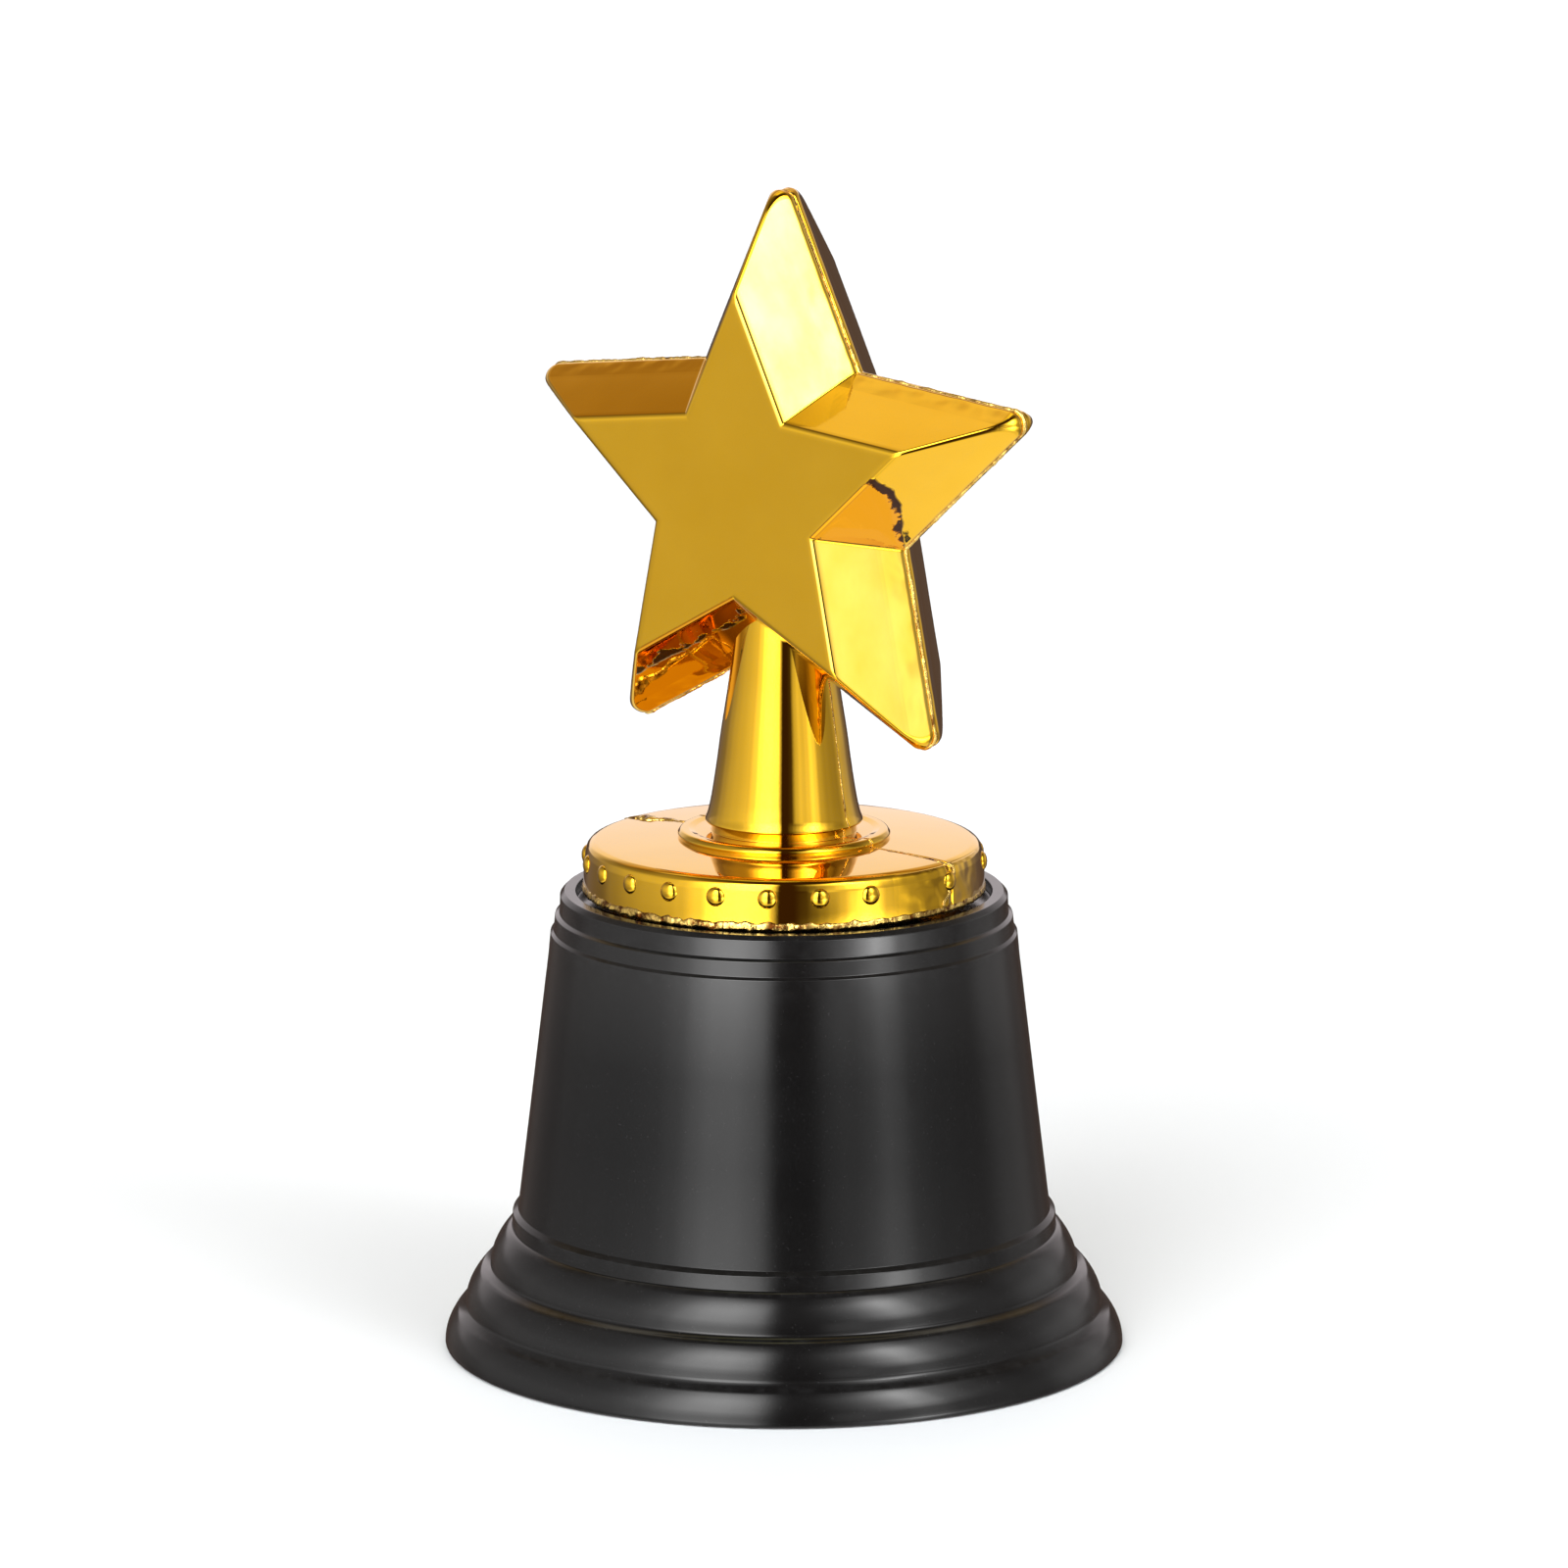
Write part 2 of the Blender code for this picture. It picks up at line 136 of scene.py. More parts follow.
# Pedestal outlines
CHANNEL = [(2.3, 43.8, 0.2), (2.3, 47.9, 0.1), (2.3, 48.6, 0.15), (19.7, 48.6, 0.2), (22.45, 48.6, 0.3)]
RIM = [(22.45, 50.0, 0.12), (23.65, 50.0, 0.15), (24.15, 49.5, 0.15), (24.2, 47.6, 0.12)]
RIM += [(24.7, 47.35, 0.12), (24.85, 45.75, 0.12), (25.2, 45.45, 0.12)]
FLARE = [(25.42, 43.0, 0), (25.85, 39.5, 0), (26.45, 34.5, 0), (27.55, 25.5, 0)]
FLARE += [(28.85, 14.95, 0.12), (29.45, 14.5, 0.12), (29.53, 12.95, 0.1)]
STEPS = [((29.98, 12.78), (31.9, 8.5)), ((32.68, 8.39), (34.62, 4.3)), ((35.35, 3.76), (36.85, 0.15))]
BELL = [(36.6, 0.0, 0.05), (35.0, 0.0, 0.1), (33.2, 3.6, 0.3), (32.3, 4.4, 0.3), (30.6, 7.8, 0.3)]
BELL += [(29.8, 8.6, 0.3), (27.9, 12.8, 0.3), (27.2, 14.6, 0)]
UNDER_DECK = [(23.4, 46.4, 0.8), (6.2, 46.8, 0.5), (5.5, 43.8, 0.3)]
RUBBED_EDGES = [(23.9, 49.75), (24.2, 47.6), (25.2, 45.45), (29.45, 14.5)]
RUBBED_EDGES += [(29.98, 12.78), (32.68, 8.39), (35.35, 3.76), (36.8, 0.2)]
RUBBED_WIDTH = 0.45
RIB_SIZE = (19.0, 1.2, 2.6)
RIB_CENTRE = (14.2, 0, 45.8)
RIBS = 6

# Screw and washer outlines
SCREW_HEAD = [(0.02, 42.25, 0), (3.4, 42.25, 0.15), (3.4, 41.4, 0.3), (2.6, 40.2, 0.9), (0.02, 40.0, 0)]
RECESS = (3.6, 0.62, 2.4)  # each arm of the cross: length, width and height
RECESS_Z = 40.2
RECESS_TURN = 0.4
RECESS_NARROWING = 0.55  # towards the recess's bottom
WASHER = [(2.2, 42.5, 0.1), (4.8, 42.5, 0.2), (4.8, 43.5, 0.2), (2.2, 43.5, 0.1)]

# The studio, as strengths by angle in degrees: across from the camera's side, and up from level
LEFT_BOX_ACROSS = [(-130, 0), (-115, 0.05), (-89, 0.12), (-75, 0.14), (-69, 0.175), (-62, 0.36), (-50, 0.95)]
LEFT_BOX_ACROSS += [(-41, 2.3), (-34, 3.3), (-22, 3.6), (-16, 3.0), (-10, 2.4), (-6, 0.7), (-3, 0)]
LEFT_BOX_UP = [(-50, 0), (-40, 0.3), (-20, 0.75), (-12, 1.5), (-6, 1.0), (6, 0.9)]
LEFT_BOX_UP += [(14, 1.2), (24, 1.8), (44, 2.2), (52, 1.8), (60, 0.5), (65, 0)]
RIGHT_BOX_ACROSS = [(5, 0), (12, 0.1), (17, 0.3), (22, 0.6), (28, 1.05), (34, 1.9), (40, 3.8)]
RIGHT_BOX_ACROSS += [(47, 6.2), (53, 4.6), (61, 1.5), (75, 0.45), (89, 0.12), (100, 0)]
RIGHT_BOX_UP = [(-50, 0), (-40, 0.3), (-20, 0.8), (-12, 1.4), (-5, 0.42), (0, 0.22)]
RIGHT_BOX_UP += [(14, 0.22), (21, 0.7), (28, 1.1), (48, 1.7), (56, 0.6), (64, 0)]
INNER_EDGE_ACROSS = [(12, 0), (20, 0.6), (27, 0.75), (34, 0.4), (42, 0)]
INNER_EDGE_UP = [(-6, 0), (2, 1), (14, 1), (22, 0)]
WALLS_ACROSS = [(-165, 0), (-150, 0.12), (-128, 0.2), (-116, 0.30), (-100, 0.40), (-84, 0.48), (-69, 0.55)]
WALLS_ACROSS += [(-60, 0.45), (-20, 0.0), (20, 0.0), (64, 0.2), (80, 0.25), (96, 0.25)]
WALLS_ACROSS += [(113, 0.5), (128, 0.45), (145, 0.12), (160, 0)]
WALLS_UP = [(-60, 0), (-50, 0.4), (-12, 0.65), (0, 1.2), (10, 1.3), (25, 0.8), (40, 0.25), (60, 0.1)]
BLACK = (0, 0, 0)
WHITE = (1.05, 0.97, 1.0)
WARM_DARK = (0.041, 0.020, 0.012)
BROWN = (0.057, 0.049, 0.046)
BACKDROP_ACROSS = [(-165, 1), (-150, 0.5), (-135, 0.12), (-118, 0.03), (-90, 0)]
BACKDROP_ACROSS += [(90, 0), (118, 0.03), (135, 0.12), (150, 0.5), (165, 1)]
BACKDROP_UP = [(1, BLACK), (5, WHITE), (24, WHITE), (36, (0.5, 0.40, 0.34)), (44, BLACK)]
CEILING_ACROSS = [(-150, 1), (-118, 0.1), (-60, 0), (60, 0), (118, 0.1), (150, 1)]
CEILING_UP = [(30, BLACK), (40, (0.33, 0.21, 0.04)), (46, (0.32, 0.19, 0.03)), (54, (1.0, 0.90, 0.7))]
CEILING_UP += [(61, (1.02, 0.92, 0.7)), (67, (0.78, 0.62, 0.3))]
CEILING_UP += [(78, (1.2, 1.2, 0.5)), (90, (1.0, 0.85, 0.5))]
FAR_FLOOR_ACROSS = [(-150, BROWN), (-130, BLACK), (130, BLACK), (150, BROWN)]
FAR_FLOOR_UP = [(-60, 0), (-40, 1), (0, 1), (5, 0)]
TABLE_UP = [(-70, 1.08), (-52, 0.85), (-30, 0.0)]
CAMERA_SEES = 0.93  # grey of the empty background
OVERHEAD_COLOUR = (0.85, 0.93, 1.0)
OVERHEAD_SPREAD = math.radians(70)
FLOOR_REACH = 4000  # from the trophy to the floor's edge
FLOOR_DROP = 0.00005  # in metres, so that the pedestal doesn't share a plane with it


# ---------------------------------------------------------------- mesh helpers


def new_object(name, verts, faces, material, smooth=True):
    """A mesh object from points in millimetres."""
    mesh = bpy.data.meshes.new(name)
    mesh.from_pydata([tuple(v) for v in np.asarray(verts, float) * MM], [], faces)
    mesh.validate()
    mesh.shade_smooth() if smooth else mesh.shade_flat()
    mesh.materials.append(material)
    piece = bpy.data.objects.new(name, mesh)
    bpy.context.scene.collection.objects.link(piece)
    return piece


def even_normals(piece):
    """Keeps flat faces flat next to their small fillets."""
    modifier = piece.modifiers.new("even_normals", "WEIGHTED_NORMAL")
    modifier.weight = 80
    modifier.keep_sharp = True


def grid_faces(rows, columns, wrap, offset=0, flip=False):
    faces = []
    last = columns if wrap else columns - 1
    for i in range(rows - 1):
        for j in range(last):
            k = (j + 1) % columns
            quad = [i * columns + j, i * columns + k, (i + 1) * columns + k, (i + 1) * columns + j]
            quad = [q + offset for q in quad]
            faces.append(quad[::-1] if flip else quad)
    return faces


def outward(piece):
    """Turns the faces of closed parts outward."""
    bm = bmesh.new()
    bm.from_mesh(piece.data)
    bmesh.ops.recalc_face_normals(bm, faces=bm.faces)
    bm.to_mesh(piece.data)
    bm.free()


def filleted(corners, segments=6, closed=False):
    """A polyline through (r, z, fillet radius) corners, each rounded by its radius."""
    points = []
    count = len(corners)
    for i in range(count):
        here = np.array(corners[i][:2], float)
        radius = corners[i][2] if len(corners[i]) > 2 else 0.0
        if radius == 0.0 or (not closed and i in (0, count - 1)):
            points.append(here)
            continue
        to_before = np.array(corners[i - 1][:2], float) - here
        to_after = np.array(corners[(i + 1) % count][:2], float) - here
        len_before, len_after = np.linalg.norm(to_before), np.linalg.norm(to_after)
        to_before /= len_before
        to_after /= len_after
        cosine = float(np.clip(to_before @ to_after, -1.0, 1.0))
        half = math.acos(cosine) / 2
        if half > math.radians(89.0):
            points.append(here)
            continue
        reach = min(radius / math.tan(half), 0.48 * len_before, 0.48 * len_after)
        radius = reach * math.tan(half)
        bisector = to_before + to_after
        bisector /= np.linalg.norm(bisector)
        centre = here + bisector * (radius / math.sin(half))
        start = here + to_before * reach - centre
        end = here + to_after * reach - centre
        sweep = math.atan2(start[0] * end[1] - start[1] * end[0], float(start @ end))
        for k in range(segments + 1):
            turn = sweep * k / segments
            c, s = math.cos(turn), math.sin(turn)
            points.append(centre + np.array([start[0] * c - start[1] * s, start[0] * s + start[1] * c]))
    return np.array(points)


def smooth_through(points, steps):
    """A Catmull-Rom curve through the points, with that many steps between each pair."""
    points = [np.array(p, float) for p in points]
    points = [2 * points[0] - points[1]] + points + [2 * points[-1] - points[-2]]
    curve = []
    for a, b, c, d in zip(points, points[1:], points[2:], points[3:]):
        for k in range(steps):
            t = k / steps
            square = (2 * a - 5 * b + 4 * c - d) * t**2
            cube = (3 * b - a - 3 * c + d) * t**3
            curve.append(0.5 * (2 * b + (c - a) * t + square + cube))
    curve.append(points[-2])
    return [tuple(p) for p in curve]


def around(angle):
    """Unit (x, y) at an angle from the star's front towards +X."""
    return math.sin(angle), -math.cos(angle)


def lathe(name, profile, material, steps, start=0.0, end=2 * math.pi, closed_profile=True):
    """Turns an (r, z) profile about Z. A part turn gets end caps."""
    full = abs(end - start - 2 * math.pi) < 1e-6
    count = len(profile)
    turns = steps if full else steps + 1
    verts = []
    for r, z in profile:
        for j in range(turns):
            x, y = around(start + (end - start) * j / steps)
            verts.append((r * x, r * y, z))
    faces = grid_faces(count, turns, full)
    if closed_profile:
        last = (count - 1) * turns
        for j in range(turns if full else turns - 1):
            k = (j + 1) % turns
            faces.append([last + j, last + k, k, j])
    if not full:
        faces.append([i * turns for i in range(count)])
        faces.append([i * turns + turns - 1 for i in range(count)][::-1])
    piece = new_object(name, verts, faces, material)
    outward(piece)
    return piece


def join(name, pieces):
    """One object out of several, keeping each one's attributes."""
    bpy.ops.object.select_all(action="DESELECT")
    for piece in pieces:
        piece.select_set(True)
    bpy.context.view_layer.objects.active = pieces[0]
    bpy.ops.object.join()
    pieces[0].name = name
    pieces[0].data.name = name
    return pieces[0]


def wave(point, size, seed):
    """Smooth noise about -1 to 1, with features of that size in millimetres."""
    return noise.noise(Vector(point) / size + Vector((seed * 7.31, seed * 3.17, seed * 11.9)))


def set_values(piece, name, values):
    """Stores one number for each of the mesh's points."""
    layer = piece.data.attributes.new(name, "FLOAT", "POINT")
    layer.data.foreach_set("value", values)


def set_flaw(piece, value_at):
    """Stores how flawed the plating is at each point, 0 to 1."""
    set_values(piece, "flaw", [value_at(v.co / MM) for v in piece.data.vertices])
    set_values(piece, "scar_and_painted_reflection", [CLEAR_OF_SCAR_AND_REFLECTION] * len(piece.data.vertices))


# ---------------------------------------------------------------- materials


class Shader:
    """Short calls for building one material's nodes."""

    def __init__(self, name):
        self.material = bpy.data.materials.new(name)
        self.material.use_nodes = True
        self.tree = self.material.node_tree
        self.surface = self.tree.nodes["Principled BSDF"]
        self.place = self.tree.nodes.new("ShaderNodeTexCoord").outputs["Object"]

    def set(self, **values):
        for name, value in values.items():
            self.surface.inputs[name.replace("_", " ")].default_value = value

    def link(self, source, name):
        self.tree.links.new(source, self.surface.inputs[name])

    def noise(self, scale, detail=2.0, rough=0.5, stretch=None):
        place = self.place
        if stretch:
            node = self.tree.nodes.new("ShaderNodeMapping")
            node.inputs["Scale"].default_value = stretch
            self.tree.links.new(place, node.inputs["Vector"])
            place = node.outputs["Vector"]
        node = self.tree.nodes.new("ShaderNodeTexNoise")
        node.inputs["Scale"].default_value = scale
        node.inputs["Detail"].default_value = detail
        node.inputs["Roughness"].default_value = rough
        self.tree.links.new(place, node.inputs["Vector"])
        return node.outputs["Fac"]

    def remap(self, source, a, b, c, d):
        node = self.tree.nodes.new("ShaderNodeMapRange")
        node.clamp = True
        for name, value in zip(("From Min", "From Max", "To Min", "To Max"), (a, b, c, d)):
            node.inputs[name].default_value = value
        self.tree.links.new(source, node.inputs["Value"])
        return node.outputs["Result"]

    def math(self, operation, a, b):
        node = self.tree.nodes.new("ShaderNodeMath")
        node.operation = operation
        for socket, value in zip(node.inputs, (a, b)):
            if isinstance(value, (int, float)):
                socket.default_value = value
            else:
                self.tree.links.new(value, socket)
        return node.outputs["Value"]

    def attribute(self, name):
        node = self.tree.nodes.new("ShaderNodeAttribute")
        node.attribute_name = name
        return node.outputs["Fac"]

    def mix(self, factor, a, b):
        node = self.tree.nodes.new("ShaderNodeMix")
        node.data_type = "RGBA"
        colours = [s for s in node.inputs if s.type == "RGBA"]
        for socket, value in zip(colours, (a, b)):
            if isinstance(value, tuple):
                socket.default_value = (*value, 1.0)
            else:
                self.tree.links.new(value, socket)
        self.tree.links.new(factor, node.inputs[0])
        return [s for s in node.outputs if s.type == "RGBA"][0]

    def bump(self, height, distance, before=None):
        node = self.tree.nodes.new("ShaderNodeBump")
        node.inputs["Strength"].default_value = 1.0
        node.inputs["Distance"].default_value = distance
        self.tree.links.new(height, node.inputs["Height"])
        if before is not None:
            self.tree.links.new(before, node.inputs["Normal"])
        return node.outputs["Normal"]


def gold_plating():
    """Bright vacuum-plated plastic: a warm mirror with faint ripples, haze, burnt spots, a painted highlight
    and a painted reflection.
    """
    s = Shader("gold_plating")
    s.set(Metallic=1.0, Coat_Weight=0.25, Coat_Roughness=0.02)
    tone = s.remap(s.noise(90.0, 3.0), 0.3, 0.7, 0.0, 1.0)
    gold = s.mix(tone, (0.85, 0.48, 0.016), (0.90, 0.52, 0.024))
    # Painted highlight: on the flats marked pale the gold turns pale yellow in patches, standing in for the
    # soft box's reflection
    painted_highlight_mottle = s.remap(s.noise(210.0, 3.0, 0.5, (1.0, 1.0, 0.6)), 0.35, 0.65, 0.55, 1.25)
    gold = s.mix(s.math("MULTIPLY", s.attribute("pale"), painted_highlight_mottle), gold, (0.95, 0.72, 0.14))
    wander = s.math("MULTIPLY", s.math("SUBTRACT", s.noise(260.0, 4.0, 0.6), 0.5), 3.0)
    scar_and_painted_reflection = s.math("ADD", s.attribute("scar_and_painted_reflection"), wander)
    # Painted reflection: past the scar line the gold turns the deep orange of gold reflected in gold,
    # standing in for the next arm's reflection; the line itself gets real burn marks below
    gold = s.mix(s.remap(scar_and_painted_reflection, -0.2, 0.1, 1.0, 0.0), gold, (0.80, 0.34, 0.008))
    spots = s.remap(s.noise(1500.0, 3.0, 0.6), 0.42, 0.56, 0.0, 1.0)
    thin = s.remap(s.noise(520.0, 3.0), 0.35, 0.65, 0.55, -0.45)
    burnt = s.remap(s.math("ADD", s.math("ABSOLUTE", scar_and_painted_reflection, 0.0), thin), 0.15, 0.4, 1.0, 0.0)
    flaw = s.math("MAXIMUM", s.math("MULTIPLY", s.attribute("flaw"), spots), burnt)
    s.link(s.mix(flaw, gold, (0.055, 0.016, 0.004)), "Base Color")
    haze = s.remap(s.noise(60.0, 4.0, 0.6), 0.35, 0.75, 0.012, 0.05)
    s.link(s.math("ADD", haze, s.math("MULTIPLY", flaw, 0.3)), "Roughness")
    dent = s.bump(s.attribute("dent"), MM)
    ripple = s.bump(s.noise(130.0, 1.0), 0.00002, before=dent)
    warp = s.bump(s.math("MULTIPLY", s.attribute("warp"), s.noise(330.0, 1.0)), 0.001, before=ripple)
    grain = s.bump(s.noise(2600.0, 2.0), 0.0000012, before=warp)
    s.link(s.bump(flaw, 0.00008, before=grain), "Normal")
    return s.material


def seam_gold():
    """The rough raised flash along the seam: broken gold with brown between."""
    s = Shader("seam_gold")
    s.set(Metallic=1.0)
    patches = s.remap(s.noise(1000.0, 4.0, 0.65), 0.42, 0.60, 0.0, 1.0)
    flaw = s.math("MULTIPLY", s.attribute("flaw"), patches)
    s.link(s.mix(flaw, (0.93, 0.64, 0.17), (0.13, 0.038, 0.006)), "Base Color")
    s.link(s.remap(patches, 0.0, 1.0, 0.16, 0.38), "Roughness")
    s.link(s.bump(s.noise(3200.0, 3.0), 0.00006), "Normal")
    return s.material


def black_plastic():
    """Satin injection-moulded styrene with faint flow marks, dust and rubbed edges."""
    s = Shader("black_plastic")
    flow = s.noise(55.0, 4.0, 0.6, (1.0, 1.0, 0.35))
    dust = s.remap(s.noise(4200.0, 1.0), 0.70, 0.78, 0.0, 0.35)
    rubbed = s.math("MULTIPLY", s.attribute("flaw"), s.remap(s.noise(900.0, 3.0), 0.42, 0.65, 0.0, 0.12))
    pale = s.math("MAXIMUM", dust, rubbed)
    base = s.mix(s.remap(flow, 0.3, 0.7, 0.0, 1.0), (0.0040, 0.0040, 0.0041), (0.0056, 0.0056, 0.0057))
    s.link(s.mix(pale, base, (0.045, 0.045, 0.046)), "Base Color")
    s.set(Specular_IOR_Level=0.35)
    s.link(s.attribute("sheen"), "Specular IOR Level")
    s.link(s.remap(s.noise(140.0, 4.0, 0.6), 0.3, 0.75, 0.12, 0.20), "Roughness")
    fine = s.bump(s.noise(5200.0, 2.0), 0.0000015)
    s.link(s.bump(s.noise(75.0, 2.0), 0.00004, before=fine), "Normal")
    return s.material


def plated_steel(name, colour, rough):
    """Zinc-plated steel: grey metal with fine turning marks and dull patches."""
    s = Shader(name)
    s.set(Metallic=1.0)
    patches = s.remap(s.noise(700.0, 4.0, 0.6), 0.35, 0.7, 0.0, 1.0)
    s.link(s.mix(patches, colour, tuple(0.72 * c for c in colour)), "Base Color")
    s.link(s.remap(patches, 0.0, 1.0, rough, rough + 0.18), "Roughness")
    s.link(s.bump(s.noise(900.0, 2.0, 0.5, (1.0, 1.0, 9.0)), 0.00001), "Normal")
    return s.material


def pale_floor():
    s = Shader("pale_floor")
    s.set(Roughness=0.75)
    s.link(s.mix(s.noise(4.0, 2.0), (0.77, 0.795, 0.82), (0.785, 0.81, 0.835)), "Base Color")
    return s.material


# ---------------------------------------------------------------- gold figure


def star_outline(tip_fillet):
    """The star's outline as (x, z) from its centre, with that rounding at its tips."""
    corners = []
    for k in range(10):
        angle = math.pi / 2 + k * math.pi / 5
        radius = NOTCH_R if k % 2 else TIP_R
        fillet = NOTCH_FILLET if k % 2 else tip_fillet
        corners.append((radius * math.cos(angle), radius * math.sin(angle), fillet))
    rounded = filleted(corners, PLACES - 1, closed=True).reshape(10, PLACES, 2)
    points = []
    for k in range(10):
        points.extend(rounded[k])
        start, end = rounded[k][-1], rounded[(k + 1) % 10][0]
        for t in STEPS_ALONG:
            points.append(start + (end - start) * t)
    return np.array(points)


def star_half(name, side, material):
    """One shell of the star. side is -1 for the front and 1 for the rear."""
    edge = math.sqrt(TIP_R**2 + NOTCH_R**2 - 2 * TIP_R * NOTCH_R * math.cos(math.pi / 5))
    apothem = TIP_R * NOTCH_R * math.sin(math.pi / 5) / edge
    face = apothem * FACE_SCALES[side]
    at_seam = [(apothem - 0.1, SEAM_GAP, 0), (apothem - 0.02, SEAM_BAND, SEAM_FILLET)]
    section = filleted(at_seam + [(face, HALF_DEPTH, FACE_FILLET), (0.3, HALF_DEPTH, 0)], 6)
    dense = [section[0]]
    for a, b in zip(section, section[1:]):
        steps = max(1, round(float(np.linalg.norm(b - a)) / RING_SPACING))
        for k in range(1, steps + 1):
            dense.append(a + (b - a) * k / steps)
    arm_slant, arm_start, arm_length = ARM_SCAR_AND_REFLECTION
    leg_level, leg_depth = LEG_SCAR_AND_REFLECTION
    warp_strength, warp_reach = SEAM_WARP
    verts, pale, scar_and_painted_reflection, dent, warp = [], [], [], [], []
    for a, depth in dense:
        blend = min(1.0, max(0.0, 1 - (depth - SEAM_BAND) / RIDGE_BLEND)) ** 2
        outline = star_outline(RIDGE_FILLET + (TIP_FILLET - RIDGE_FILLET) * blend)
        scale = a / apothem
        level = min(depth / HALF_DEPTH, 1.0)
        on_side = 1.0 if depth < HALF_DEPTH - 1e-6 else 0.0
        for j, (x, z) in enumerate(outline):
            flat, place = divmod(j, len(outline) // 10)
            on_flat = side < 0 and place >= PLACES and on_side
            along = STEPS_ALONG[place - PLACES] if on_flat else 0.0
            # how much painted highlight this point gets
            pale.append(PAINTED_HIGHLIGHT_FLATS.get(flat, 0.0) if on_flat else 0.0)
            from_scar = CLEAR_OF_SCAR_AND_REFLECTION
            # Distance from a scar line: on its far side the flat gets a painted reflection, deep orange
            if on_flat and flat == UNDER_RIGHT_ARM:
                from_scar = (along - arm_slant * level + arm_start) * arm_length
            if on_flat and flat == IN_LEFT_LEG:
                from_scar = (leg_level - level) * leg_depth
            scar_and_painted_reflection.append(from_scar)
            dent.append(max(0.0, -from_scar) * DENT_SLOPE if flat == UNDER_RIGHT_ARM else 0.0)
            ripple = wave((x * scale, depth * side, z * scale), 8.0, 1)
            warp.append(warp_strength * max(0.0, 1 - depth / warp_reach))
            bulge = PILLOW * math.sin(math.pi * level) + RIPPLE * ripple * min(1.0, depth)
            grow = 1 + on_side * bulge / apothem
            out = depth + RIPPLE * ripple * level**6
            verts.append((x * scale * grow, side * out, CENTRE_Z + z * scale * grow))
    rows, columns = len(dense), len(outline)
    faces = grid_faces(rows, columns, True)
    last = (rows - 1) * columns
    faces.append([last + j for j in range(columns)])
    # the inside of the shell, and the seam face between the two skins
    base = len(verts)
    floor = HALF_DEPTH - WALL
    inside = [(apothem - WALL * 1.15, SEAM_GAP), (face - WALL * 0.6, floor), (3.0, floor)]
    for a, depth in inside:
        for x, z in outline:
            verts.append((x * a / apothem, side * depth, CENTRE_Z + z * a / apothem))
    faces += grid_faces(len(inside), columns, True, base, flip=True)
    faces += [[j, base + j, base + (j + 1) % columns, (j + 1) % columns] for j in range(columns)]
    last = base + (len(inside) - 1) * columns
    faces.append([last + j for j in range(columns)])
    piece = new_object(name, verts, faces, material)
    outward(piece)
    even_normals(piece)
    rest = len(verts) - len(pale)
    set_values(piece, "pale", pale + [0.0] * rest)
    set_values(piece, "scar_and_painted_reflection", scar_and_painted_reflection + [CLEAR_OF_SCAR_AND_REFLECTION] * rest)
    set_values(piece, "dent", dent + [0.0] * rest)
    set_values(piece, "warp", warp + [0.0] * rest)
    return piece


def column_profile():
    """Stem, collar and foot with the shell's inside, as a closed (r, z) loop."""
    stem = smooth_through(STEM_PROFILE, 5)
    outer = [(r, z, 0) for r, z in stem[:-1]] + COLLAR + FOOT + [(FOOT_BOTTOM_R, FOOT_BOTTOM_Z, 0.1)]
    inner = [(FOOT_BOTTOM_R - WALL, FOOT_BOTTOM_Z, 0.1)] + FIGURE_HOLLOW
    return filleted(outer + inner, 5)


def studs(name, angles, material):
    """Small domes round the foot, each a closed pill half sunk in the wall."""
    verts, faces = [], []
    rings, around_count = 9, 20
    for degrees in angles:
        x, y = around(math.radians(degrees))
        out, side = Vector((x, y, 0)), Vector((-y, x, 0))
        centre = out * STUD_CENTRE[0] + Vector((0, 0, STUD_CENTRE[1]))
        base = len(verts)
        for i in range(rings + 1):
            polar = math.pi * i / rings
            for j in range(around_count):
                turn = 2 * math.pi * j / around_count
                local = (side * math.cos(turn) + Vector((0, 0, math.sin(turn)))) * math.sin(polar)
                point = centre + (local + out * math.cos(polar) * STUD_FLATTENING) * STUD_R
                verts.append(tuple(point))
        faces += grid_faces(rings + 1, around_count, True, base)
    piece = new_object(name, verts, faces, material)
    bm = bmesh.new()
    bm.from_mesh(piece.data)
    bmesh.ops.remove_doubles(bm, verts=bm.verts, dist=1e-6)
    bmesh.ops.recalc_face_normals(bm, faces=bm.faces)
    bm.to_mesh(piece.data)
    bm.free()
    set_flaw(piece, lambda p: 0.0)
    return piece


def column_half(name, side, material):
    middle = 0.0 if side < 0 else math.pi
    quarter = math.pi / 2 - SEAM_GAP / 21.0
    piece = lathe(name, column_profile(), material, 120, middle - quarter, middle + quarter)
    mesh = piece.data
    for v in mesh.vertices:
        p = v.co / MM
        r = math.hypot(p.x, p.y)
        if r > 1:
            grow = 1 + 0.02 * wave(p, 9.0, 3) / r
            v.co.x *= grow
            v.co.y *= grow
    even_normals(piece)
    set_flaw(piece, lambda p: 0.0)
    strength, reach = WALL_WARP
    wall_r, wall_top = FOOT_WALL
    warp = []
    for v in mesh.vertices:
        p = v.co / MM
        on_wall = math.hypot(p.x, p.y) > wall_r and p.z < wall_top
        warp.append(strength * max(0.0, 1 - abs(p.y) / reach) if on_wall else 0.0)
    set_values(piece, "warp", warp)
    return piece


# ---------------------------------------------------------------- seam flash


